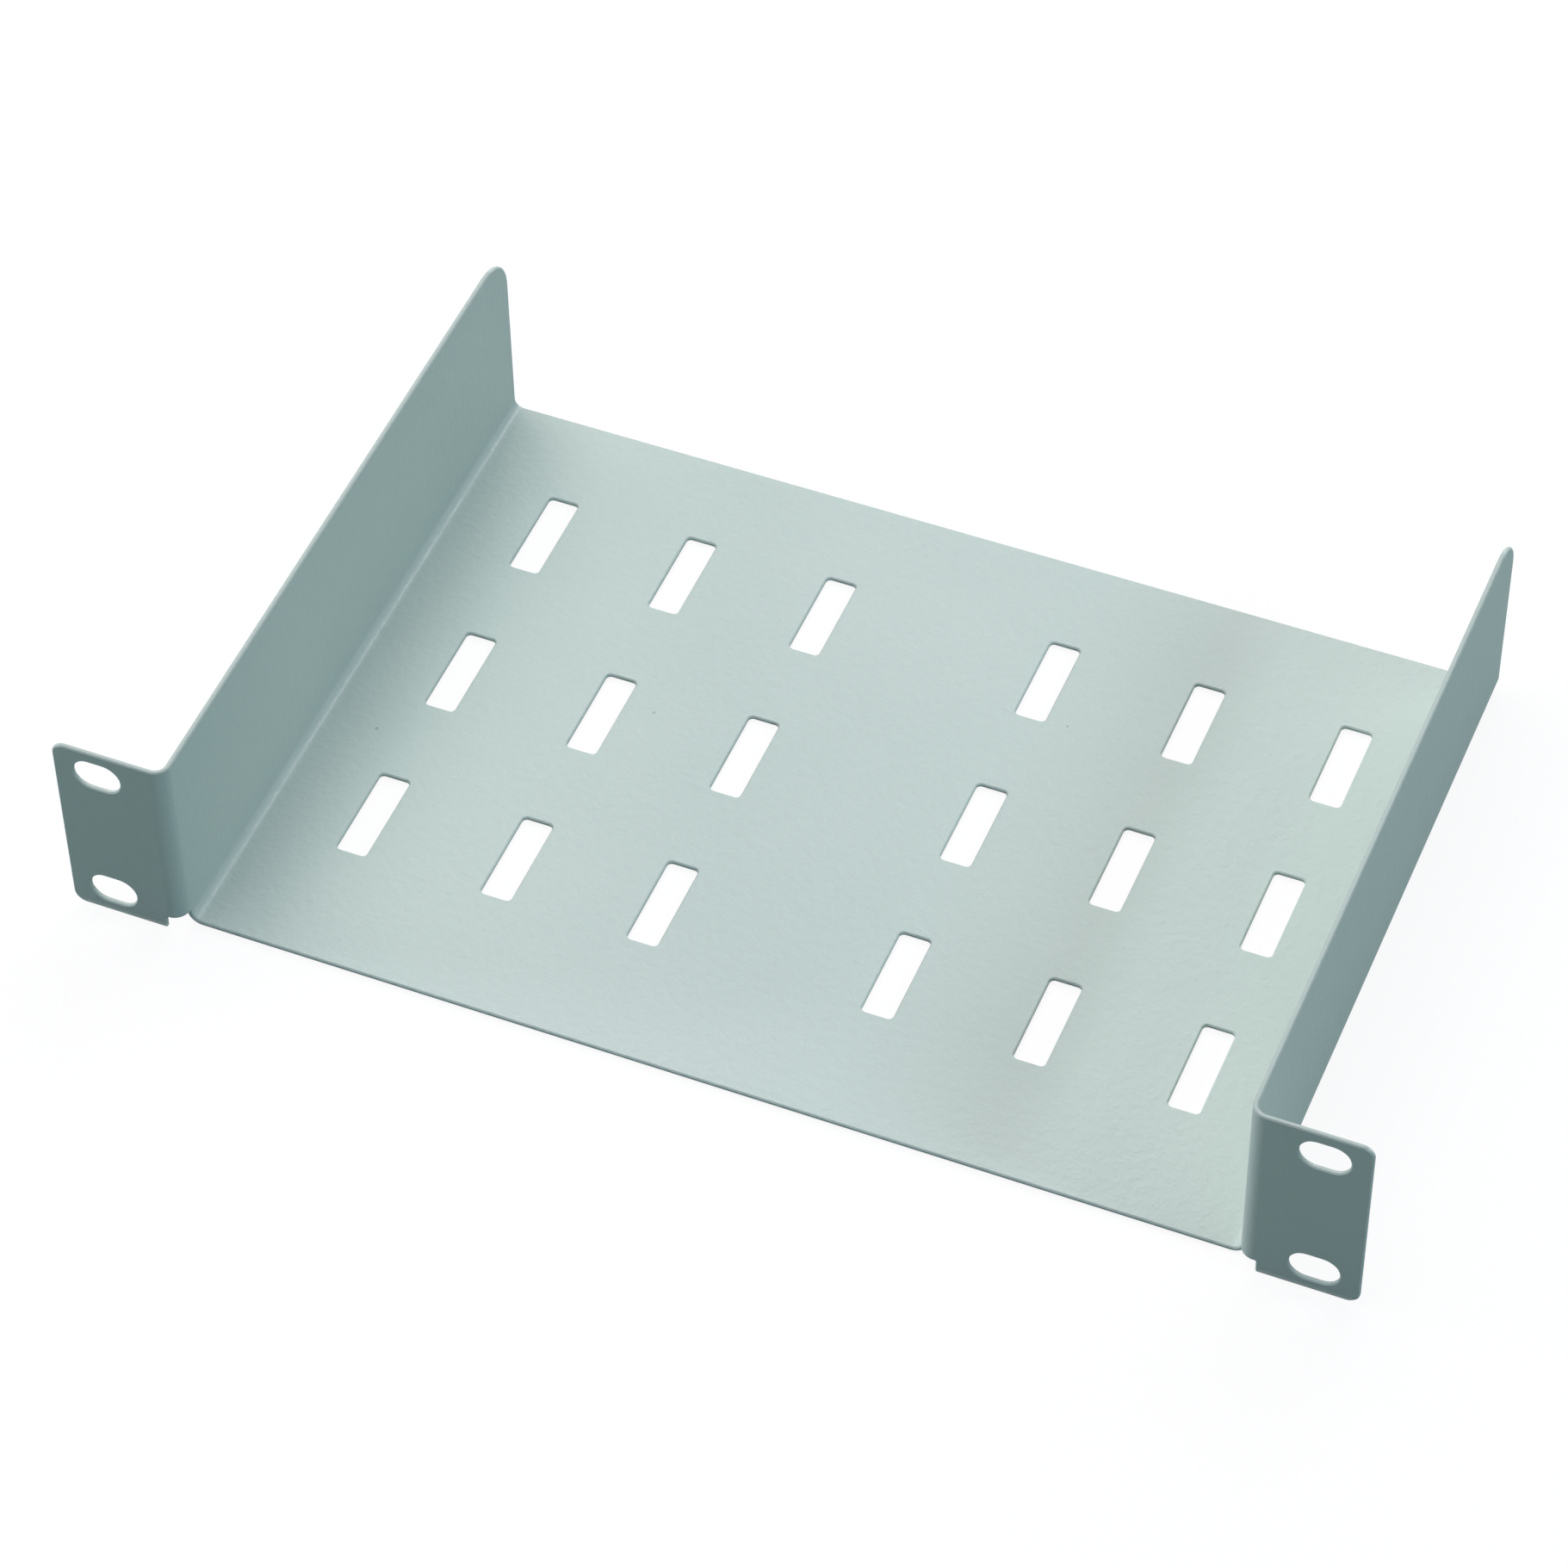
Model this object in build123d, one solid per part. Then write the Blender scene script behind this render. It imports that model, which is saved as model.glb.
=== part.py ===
from build123d import *
import os

# One-unit shelf for a ten-inch rack, folded from one steel sheet.
# Millimetres. Seen from the front, +X is to the right, +Y goes back into the rack, +Z is up.
# The origin is the middle of the four mounting holes, on the back faces of the ears,
# the plane that seats on the rack's rails.

# Rack standard
UNIT_HEIGHT = 44.45
UNIT_HOLE_GAP = 12.7  # from a unit's top hole up to the bottom hole of the unit above
HOLE_TO_SIDE = 8.7375  # from the middle of a mounting hole to the ear's side edge

# Sheet and folds
SHEET = 1.0
BEND_RADIUS = 2.1  # inner radius of every fold
EDGE_BEVEL = 0.25  # every cut edge is broken by this much on each face

# Mounting front
OVERALL_WIDTH = 254.0
EAR_BREADTH = 22.0  # from the outer face of a wall to the ear's side edge
UNIT_CLEARANCE = 0.8  # how much lower than the unit the ears are
HOLE_LENGTH = 9.6
HOLE_WIDTH = 6.8
EAR_CORNER = 2.5

# Tray
DEPTH_BEHIND_RAILS = 150.3
FLOOR_BELOW_EARS = 0.5  # from the ears' lower edge down to the underside of the floor
WALL_REAR_CORNER = 9.0

# Notch at each front corner, where the floor fold and the ear fold would meet
NOTCH_ABOVE_FLOOR_FOLD = 0.4
NOTCH_BESIDE_EAR_FOLD = 0.5
NOTCH_BEHIND_EAR_FOLD = 0.1
NOTCH_CORNER = 0.3

# Slots in the floor
SLOT_WIDTH = 6.3
SLOT_LENGTH = 20.5
SLOT_CORNER = 1.0
SLOT_ROWS = 3
SLOT_COLUMNS_PER_SIDE = 3
SLOT_PITCH_X = 30.0
SLOT_PITCH_Y = 40.0
WALL_TO_OUTER_SLOTS = 21.4  # outer wall face to the middle of the outermost column
REAR_TO_LAST_SLOTS = 31.65  # rear edge to the middle of the last row

# Sizes that follow
HOLE_SPACING_X = OVERALL_WIDTH - 2 * HOLE_TO_SIDE
HOLE_SPACING_Z = UNIT_HEIGHT - UNIT_HOLE_GAP
EAR_HEIGHT = UNIT_HEIGHT - UNIT_CLEARANCE
BODY_WIDTH = OVERALL_WIDTH - 2 * EAR_BREADTH
HALF_BODY = BODY_WIDTH / 2
HALF_WIDTH = OVERALL_WIDTH / 2
FOLD_OUTER = BEND_RADIUS + SHEET
TOP_Z = EAR_HEIGHT / 2
EAR_BOTTOM_Z = -EAR_HEIGHT / 2
UNDERSIDE_Z = EAR_BOTTOM_Z - FLOOR_BELOW_EARS
REAR_Y = DEPTH_BEHIND_RAILS
EAR_FRONT_Y = -SHEET
FLOOR_FRONT_Y = BEND_RADIUS + NOTCH_BEHIND_EAR_FOLD
NOTCH_TOP_Z = UNDERSIDE_Z + FOLD_OUTER + NOTCH_ABOVE_FLOOR_FOLD
NOTCH_SIDE_X = HALF_BODY + BEND_RADIUS + NOTCH_BESIDE_EAR_FOLD
CUTTER_DEPTH = 4 * SHEET
SMOOTH_JOIN = 0.9  # cosine between the normals of two faces that run on into each other
HALFWAY = 0.5  # place along an edge


def u_section():
    """Section of the tray: the floor, the two folds and the two walls, one sheet thick."""
    height = TOP_Z - UNDERSIDE_Z
    outer = Rectangle(BODY_WIDTH, height, align=(Align.CENTER, Align.MIN))
    outer = fillet(outer.vertices().group_by(Axis.Y)[0], FOLD_OUTER)
    inner = Rectangle(BODY_WIDTH - 2 * SHEET, height, align=(Align.CENTER, Align.MIN))
    inner = fillet(inner.vertices().group_by(Axis.Y)[0], BEND_RADIUS)
    return outer - Pos(0, SHEET) * inner


def tray():
    """Floor and side walls, from the floor's front edge to the rear edge."""
    front = Plane(origin=(0, FLOOR_FRONT_Y, UNDERSIDE_Z), x_dir=(1, 0, 0), z_dir=(0, -1, 0))
    return extrude(front * u_section(), -(REAR_Y - FLOOR_FRONT_Y))


def ear_plan():
    """Plan of the right ear, one sheet thick: the end of the wall, the fold and the plate."""
    inner_x = HALF_BODY - SHEET
    outline = Polyline(
        (inner_x, FLOOR_FRONT_Y),
        (inner_x, EAR_FRONT_Y),
        (HALF_WIDTH, EAR_FRONT_Y),
        (HALF_WIDTH, 0),
        (HALF_BODY, 0),
        (HALF_BODY, FLOOR_FRONT_Y),
        close=True,
    )
    plan = make_face(outline)
    plan = fillet(plan.vertices().sort_by_distance((HALF_BODY, 0, 0))[0], BEND_RADIUS)
    return fillet(plan.vertices().sort_by_distance((inner_x, EAR_FRONT_Y, 0))[0], FOLD_OUTER)


def notch_cutter():
    """Block of air that cuts the notch, with its two upper edges rounded."""
    block = Pos(NOTCH_SIDE_X, FLOOR_FRONT_Y, NOTCH_TOP_Z) * Box(
        HALF_BODY, CUTTER_DEPTH + FOLD_OUTER, EAR_HEIGHT,
        align=(Align.MAX, Align.MAX, Align.MAX),
    )
    top = block.faces().sort_by(Axis.Z)[-1]
    edges = [top.edges().sort_by(Axis.X)[-1], top.edges().sort_by(Axis.Y)[-1]]
    return fillet(edges, NOTCH_CORNER)


def round_corners(piece, axis, radius, points):
    """Round the corners of the sheet's outline: their short edges lie nearest to the points."""
    short = piece.edges().filter_by(axis)
    return fillet([short.sort_by_distance(point)[0] for point in points], radius)


def right_ear():
    """Right ear and its fold, with its corners rounded and the notch cut below the fold."""
    ear = extrude(Pos(0, 0, EAR_BOTTOM_Z) * ear_plan(), EAR_HEIGHT) - notch_cutter()
    middle_y = EAR_FRONT_Y / 2
    outer = [(HALF_WIDTH, middle_y, z) for z in (EAR_BOTTOM_Z, TOP_Z)]
    ear = round_corners(ear, Axis.Y, EAR_CORNER, outer)
    return round_corners(ear, Axis.Y, NOTCH_CORNER, [(NOTCH_SIDE_X, middle_y, EAR_BOTTOM_Z)])


def folded_sheet():
    """The whole sheet before its openings are cut."""
    wall_x = HALF_BODY - SHEET / 2
    rear = [(x, REAR_Y, TOP_Z) for x in (-wall_x, wall_x)]
    shelf = round_corners(tray(), Axis.X, WALL_REAR_CORNER, rear)
    ear = right_ear()
    return shelf + ear + mirror(ear, Plane.YZ)


def floor_slots():
    """Cutters for the floor's slots: the columns stand in two groups, one beside each wall."""
    outline = Rectangle(SLOT_WIDTH, SLOT_LENGTH)
    outline = fillet(outline.vertices(), SLOT_CORNER)
    cutter = extrude(outline, CUTTER_DEPTH, both=True)
    cutters = []
    for side in (-1, 1):
        for column in range(SLOT_COLUMNS_PER_SIDE):
            x = side * (HALF_BODY - WALL_TO_OUTER_SLOTS - column * SLOT_PITCH_X)
            for row in range(SLOT_ROWS):
                y = REAR_Y - REAR_TO_LAST_SLOTS - row * SLOT_PITCH_Y
                cutters.append(Pos(x, y, UNDERSIDE_Z) * cutter)
    return cutters


def mounting_holes():
    """Cutters for the four holes in the ears, longer across the rack than high."""
    outline = Plane.XZ * SlotOverall(HOLE_LENGTH, HOLE_WIDTH)
    cutter = extrude(outline, CUTTER_DEPTH, both=True)
    cutters = []
    for x in (-HOLE_SPACING_X / 2, HOLE_SPACING_X / 2):
        for z in (-HOLE_SPACING_Z / 2, HOLE_SPACING_Z / 2):
            cutters.append(Pos(x, 0, z) * cutter)
    return cutters


def cut_edges(piece):
    """Edges where the sheet was cut: the two faces that meet there don't run on smoothly."""
    neighbours = {}
    for face in piece.faces():
        for edge in face.edges():
            neighbours.setdefault(edge, []).append(face)
    cut = []
    for edge, faces in neighbours.items():
        normals = [face.normal_at(edge @ HALFWAY) for face in faces]
        if normals[0].dot(normals[-1]) < SMOOTH_JOIN:
            cut.append(edge)
    return cut


def rack_shelf():
    """The finished shelf: the openings are cut, then every cut edge is broken."""
    sheet = folded_sheet() - floor_slots() - mounting_holes()
    return chamfer(cut_edges(sheet), EDGE_BEVEL)


os.makedirs("parts", exist_ok=True)
export_step(rack_shelf(), "parts/folded_shelf.step")
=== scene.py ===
import math

import bpy
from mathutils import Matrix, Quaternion, Vector


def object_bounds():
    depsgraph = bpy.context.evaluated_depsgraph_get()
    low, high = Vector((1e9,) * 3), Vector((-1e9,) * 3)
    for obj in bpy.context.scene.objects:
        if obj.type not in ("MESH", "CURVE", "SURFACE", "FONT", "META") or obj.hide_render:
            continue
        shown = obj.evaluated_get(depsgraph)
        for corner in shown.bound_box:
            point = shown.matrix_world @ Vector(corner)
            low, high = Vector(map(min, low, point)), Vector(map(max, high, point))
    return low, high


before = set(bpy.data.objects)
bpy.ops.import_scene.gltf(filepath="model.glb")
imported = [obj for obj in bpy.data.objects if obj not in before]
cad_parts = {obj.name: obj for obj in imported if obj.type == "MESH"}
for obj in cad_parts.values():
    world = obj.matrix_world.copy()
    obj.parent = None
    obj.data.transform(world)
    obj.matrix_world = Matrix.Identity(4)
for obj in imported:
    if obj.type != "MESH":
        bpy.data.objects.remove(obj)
cad_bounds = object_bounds()

# Camera: where it looks, from which side, and through which lens
AIM = Vector((-0.01383, 0.07481, -0.0213))
DISTANCE = 1.06622
AZIMUTH = math.radians(23.08)
ELEVATION = math.radians(48.243)
ROLL = math.radians(-0.968)
SENSOR_WIDTH = 36.0
LENS = 127.944

# Powder coat
COAT_COLOUR = (0.525, 0.610, 0.554, 1.0)
COAT_SHADE = (0.497, 0.585, 0.532, 1.0)
PAINTED_EDGE_SHADE = (0.42, 0.49, 0.445, 1.0)  # painted shade on the walls' and ears' upper edges, darkening their lit tops
SPECK_COLOUR = (0.30, 0.36, 0.35, 1.0)
COAT_ROUGHNESS = (0.52, 0.60)
COAT_GLOSS = 0.6  # share of a full gloss layer's reflection
FOLD_ROUGHNESS = 0.22  # along the middle of the folds beside the floor, where the coat ran smooth
FOLD_GLOSS = 1.0
FOLD_X = (0.1026, 0.1028)  # where that line begins, to either side
FOLD_Z = (-0.0209, -0.0207)  # and up to which height it reaches
PAINTED_EDGE_SHADE_Z = (0.02150, 0.02158)  # from which height the painted shade on the upper edges begins
WALL_Z = (-0.0213, -0.0190)  # between which heights the grain softens, from the floor to the walls
WALL_GRAIN = 0.3
CLOUD_SCALE = 14.0  # patches per metre in the coat's slight unevenness of colour
CLOUD_DETAIL = 4.0
CLOUD_RANGE = (0.35, 0.65)  # where in the noise the tone goes from the shade to the full colour
GRAIN_SCALE = 520.0  # bumps per metre of the orange-peel grain
FINE_GRAIN_SCALE = 1700.0
FINE_GRAIN_DETAIL = 2.0
GRAIN_DETAIL = (4.0, 0.6)  # octaves, and how strong each is beside the one before
GRAIN_HEIGHT = 0.00024
GLOSS_GRAIN_HEIGHT = 0.00040
FINE_GRAIN_HEIGHT = 0.000020
SPECK_SCALE = 55.0
SPECK_RADIUS = 0.014

# Studio
STAGE_SIZE = 8.0
STAGE_GAP = 0.0003  # how far the floor lies below the shelf, so that the two never share a plane
STAGE_COLOUR = (0.155, 0.258, 0.225, 1.0)
STAGE_WHITE_SHARE = 0.9
WHITE = (1.0, 1.0, 1.0, 1.0)
FILL_COLOUR = (0.20, 0.40, 1.0, 1.0)
FILL_STRENGTH = 0.115
LIGHTS_AIM = Vector((0.0, 0.075, 0.0))
NEUTRAL = (1.0, 1.0, 1.0)
# Lamps: name, (elevation, azimuth from the rear) in degrees, distance, width, height, power, tint
LAMPS = (
    ("rear", (42, 0), 2.0, 1.6, 1.6, 22.0, NEUTRAL),
    ("rear_left", (55, 300), 2.0, 1.0, 1.0, 12.0, (1.0, 0.915, 0.885)),
    ("overhead", (70, 225), 1.8, 1.0, 1.0, 10.4, (1.0, 0.98, 0.98)),
    ("right", (32, 96), 1.8, 0.35, 0.35, 8.5, (0.70, 0.88, 1.0)),
    ("left_strip", (14.5, 265), 1.66, 0.6, 0.025, 11.5, (0.87, 0.90, 1.0)),
    ("fold_line", (37, 40), 2.0, 0.25, 0.25, 2.2, NEUTRAL),
    ("front", (4, 182), 2.0, 0.5, 0.5, 1.05, NEUTRAL),
)

# Sockets that share their name with others on the node, and so go by number
COLOUR_MIX_SHARE, COLOUR_MIX_FIRST, COLOUR_MIX_SECOND, COLOUR_MIX_RESULT = 0, 6, 7, 2
SHADER_MIX_FIRST, SHADER_MIX_SECOND = 1, 2


def add_node(tree, kind, **settings):
    """A new shader node with its settings made."""
    node = tree.nodes.new(kind)
    for name, value in settings.items():
        setattr(node, name, value)
    return node


def noise(tree, coordinates, scale, detail, roughness=0.5):
    """The height of a noise texture laid over the object at its real scale."""
    node = add_node(tree, "ShaderNodeTexNoise")
    node.inputs["Scale"].default_value = scale
    node.inputs["Detail"].default_value = detail
    node.inputs["Roughness"].default_value = roughness
    tree.links.new(coordinates, node.inputs["Vector"])
    return node.outputs["Fac"]


def ramp(tree, value, places, colours):
    """Turns a value into a colour between two, from the lower place to the higher."""
    node = add_node(tree, "ShaderNodeValToRGB")
    for element, place, colour in zip(node.color_ramp.elements, places, colours):
        element.position = place
        element.color = colour
    tree.links.new(value, node.inputs["Fac"])
    return node.outputs["Color"]


def bump(tree, height, distance, normal=None, strength=None):
    """A bump of the given height in metres, laid over an earlier one if there is one."""
    node = add_node(tree, "ShaderNodeBump")
    node.inputs["Distance"].default_value = distance
    tree.links.new(height, node.inputs["Height"])
    if normal is not None:
        tree.links.new(normal, node.inputs["Normal"])
    if strength is not None:
        tree.links.new(strength, node.inputs["Strength"])
    return node.outputs["Normal"]


def map_range(tree, value, to_low, to_high, from_low=0.0, from_high=1.0):
    """A value carried from one range to another."""
    node = add_node(tree, "ShaderNodeMapRange")
    for name, number in (
        ("From Min", from_low), ("From Max", from_high), ("To Min", to_low), ("To Max", to_high)
    ):
        node.inputs[name].default_value = number
    tree.links.new(value, node.inputs["Value"])
    return node.outputs["Result"]


def specks(tree, coordinates):
    """Where the few dark specks of dust under the coat are: 1 on a speck and 0 beside it."""
    cells = add_node(tree, "ShaderNodeTexVoronoi")
    cells.inputs["Scale"].default_value = SPECK_SCALE
    tree.links.new(coordinates, cells.inputs["Vector"])
    return map_range(tree, cells.outputs["Distance"], 1.0, 0.0, SPECK_RADIUS, 2 * SPECK_RADIUS)


def math_node(tree, operation, *values):
    """The outcome of one sum with one or two values."""
    node = add_node(tree, "ShaderNodeMath", operation=operation)
    for value, socket in zip(values, node.inputs):
        tree.links.new(value, socket)
    return node.outputs["Value"]


def in_floor_folds(tree, across, height):
    """1 in the two folds between the floor and the walls, and 0 elsewhere."""
    beside = map_range(tree, math_node(tree, "ABSOLUTE", across), 0.0, 1.0, *FOLD_X)
    below = map_range(tree, height, 1.0, 0.0, *FOLD_Z)
    return math_node(tree, "MULTIPLY", beside, below)


def over(tree, share, first, colour):
    """A linked colour with another laid over it where the share is 1."""
    node = add_node(tree, "ShaderNodeMix", data_type="RGBA")
    tree.links.new(share, node.inputs[COLOUR_MIX_SHARE])
    tree.links.new(first, node.inputs[COLOUR_MIX_FIRST])
    node.inputs[COLOUR_MIX_SECOND].default_value = colour
    return node.outputs[COLOUR_MIX_RESULT]


def blend(tree, share, first, second):
    """A value between the first one, linked, and the second one, a number."""
    node = add_node(tree, "ShaderNodeMix", data_type="FLOAT")
    tree.links.new(share, node.inputs["Factor"])
    tree.links.new(first, node.inputs["A"])
    node.inputs["B"].default_value = second
    return node.outputs["Result"]


def powder_coat():
    """Light grey powder coat: slight patches of tone, a fine orange-peel grain, a few specks, and
    painted shade along the upper edges.
    """
    material = bpy.data.materials.new("powder_coat")
    material.use_nodes = True
    tree = material.node_tree
    shader = tree.nodes["Principled BSDF"]
    place = add_node(tree, "ShaderNodeTexCoord").outputs["Object"]
    axes = add_node(tree, "ShaderNodeSeparateXYZ")
    tree.links.new(place, axes.inputs["Vector"])
    across, height = axes.outputs["X"], axes.outputs["Z"]
    clouds = noise(tree, place, CLOUD_SCALE, CLOUD_DETAIL)
    grain = noise(tree, place, GRAIN_SCALE, *GRAIN_DETAIL)
    fine = noise(tree, place, FINE_GRAIN_SCALE, FINE_GRAIN_DETAIL)
    tone = ramp(tree, clouds, CLOUD_RANGE, (COAT_SHADE, COAT_COLOUR))
    tone = over(tree, specks(tree, place), tone, SPECK_COLOUR)
    # painted shade: the upper edges of the walls and ears are darkened in colour where they catch
    # the light
    tone = over(tree, map_range(tree, height, 0.0, 1.0, *PAINTED_EDGE_SHADE_Z), tone, PAINTED_EDGE_SHADE)
    tree.links.new(tone, shader.inputs["Base Color"])
    flat = map_range(tree, grain, *COAT_ROUGHNESS)
    folds = in_floor_folds(tree, across, height)
    tree.links.new(blend(tree, folds, flat, FOLD_ROUGHNESS), shader.inputs["Coat Roughness"])
    tree.links.new(map_range(tree, folds, COAT_GLOSS, FOLD_GLOSS), shader.inputs["Coat Weight"])
    pits = bump(tree, fine, FINE_GRAIN_HEIGHT)
    softened = map_range(tree, height, 1.0, WALL_GRAIN, *WALL_Z)
    peel = bump(tree, grain, GRAIN_HEIGHT, pits, softened)
    tree.links.new(peel, shader.inputs["Normal"])
    tree.links.new(bump(tree, grain, GLOSS_GRAIN_HEIGHT, pits), shader.inputs["Coat Normal"])
    shader.inputs["Specular IOR Level"].default_value = 0.0
    return material


def seen_directly(tree):
    """1 for what the camera sees straight, in a reflection or through glass, and 0 for light."""
    path = add_node(tree, "ShaderNodeLightPath")
    seen = path.outputs["Is Camera Ray"]
    for name in ("Is Glossy Ray", "Is Transmission Ray"):
        either = add_node(tree, "ShaderNodeMath", operation="MAXIMUM")
        tree.links.new(seen, either.inputs[0])
        tree.links.new(path.outputs[name], either.inputs[1])
        seen = either.outputs["Value"]
    return seen


def stage_material():
    """Pale floor that shows white with the object's faint shadow."""
    material = bpy.data.materials.new("stage")
    material.use_nodes = True
    tree = material.node_tree
    tree.nodes.clear()
    out = add_node(tree, "ShaderNodeOutputMaterial")
    plain = add_node(tree, "ShaderNodeBsdfDiffuse")
    plain.inputs["Color"].default_value = STAGE_COLOUR
    lit = add_node(tree, "ShaderNodeBsdfDiffuse")
    lit.inputs["Color"].default_value = WHITE
    glow = add_node(tree, "ShaderNodeEmission")
    glow.inputs["Color"].default_value = WHITE
    shown = add_node(tree, "ShaderNodeMixShader")
    shown.inputs["Fac"].default_value = STAGE_WHITE_SHARE
    tree.links.new(lit.outputs["BSDF"], shown.inputs[SHADER_MIX_FIRST])
    tree.links.new(glow.outputs["Emission"], shown.inputs[SHADER_MIX_SECOND])
    both = add_node(tree, "ShaderNodeMixShader")
    tree.links.new(seen_directly(tree), both.inputs["Fac"])
    tree.links.new(plain.outputs["BSDF"], both.inputs[SHADER_MIX_FIRST])
    tree.links.new(shown.outputs["Shader"], both.inputs[SHADER_MIX_SECOND])
    tree.links.new(both.outputs["Shader"], out.inputs["Surface"])
    return material


def make_stage():
    """The floor that the shelf stands on."""
    height = cad_bounds[0].z - STAGE_GAP
    bpy.ops.mesh.primitive_plane_add(size=STAGE_SIZE, location=(0, 0, height))
    floor = bpy.context.object
    floor.name = "stage_floor"
    floor.data.materials.append(stage_material())


def make_world():
    """White where it is seen, and a soft cool fill where it lights."""
    world = bpy.data.worlds.new("studio")
    bpy.context.scene.world = world
    world.use_nodes = True
    tree = world.node_tree
    tree.nodes.clear()
    out = add_node(tree, "ShaderNodeOutputWorld")
    fill = add_node(tree, "ShaderNodeBackground")
    fill.inputs["Color"].default_value = FILL_COLOUR
    fill.inputs["Strength"].default_value = FILL_STRENGTH
    white = add_node(tree, "ShaderNodeBackground")
    white.inputs["Color"].default_value = WHITE
    both = add_node(tree, "ShaderNodeMixShader")
    tree.links.new(seen_directly(tree), both.inputs["Fac"])
    tree.links.new(fill.outputs["Background"], both.inputs[SHADER_MIX_FIRST])
    tree.links.new(white.outputs["Background"], both.inputs[SHADER_MIX_SECOND])
    tree.links.new(both.outputs["Shader"], out.inputs["Surface"])


def soft_box(name, direction, distance, width, height, power, tint):
    """A soft light that faces the shelf, seen from it at (elevation, azimuth from the rear)."""
    light = bpy.data.lights.new(name, "AREA")
    light.shape = "RECTANGLE"
    light.size = width
    light.size_y = height
    light.energy = power
    light.color = tint
    elevation, azimuth = (math.radians(angle) for angle in direction)
    level = math.cos(elevation)
    toward = Vector((math.sin(azimuth) * level, math.cos(azimuth) * level, math.sin(elevation)))
    lamp = bpy.data.objects.new(name, light)
    bpy.context.scene.collection.objects.link(lamp)
    lamp.location = LIGHTS_AIM + distance * toward
    lamp.rotation_mode = "QUATERNION"
    lamp.rotation_quaternion = (-toward).to_track_quat("-Z", "Y")


def make_camera():
    """The camera, at the viewing angle of the photograph."""
    data = bpy.data.cameras.new("camera")
    data.sensor_width = SENSOR_WIDTH
    data.lens = LENS
    camera = bpy.data.objects.new("camera", data)
    bpy.context.scene.collection.objects.link(camera)
    level = math.cos(ELEVATION)
    back = Vector((math.sin(AZIMUTH) * level, -math.cos(AZIMUTH) * level, math.sin(ELEVATION)))
    camera.location = AIM + DISTANCE * back
    camera.rotation_mode = "QUATERNION"
    upright = (-back).to_track_quat("-Z", "Y")
    camera.rotation_quaternion = upright @ Quaternion((0, 0, 1), ROLL)
    bpy.context.scene.camera = camera


coat = powder_coat()
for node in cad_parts.values():
    node.data.materials.clear()
    node.data.materials.append(coat)

make_stage()
make_world()
for lamp in LAMPS:
    soft_box(*lamp)
make_camera()

bpy.context.scene.view_settings.view_transform = "Standard"
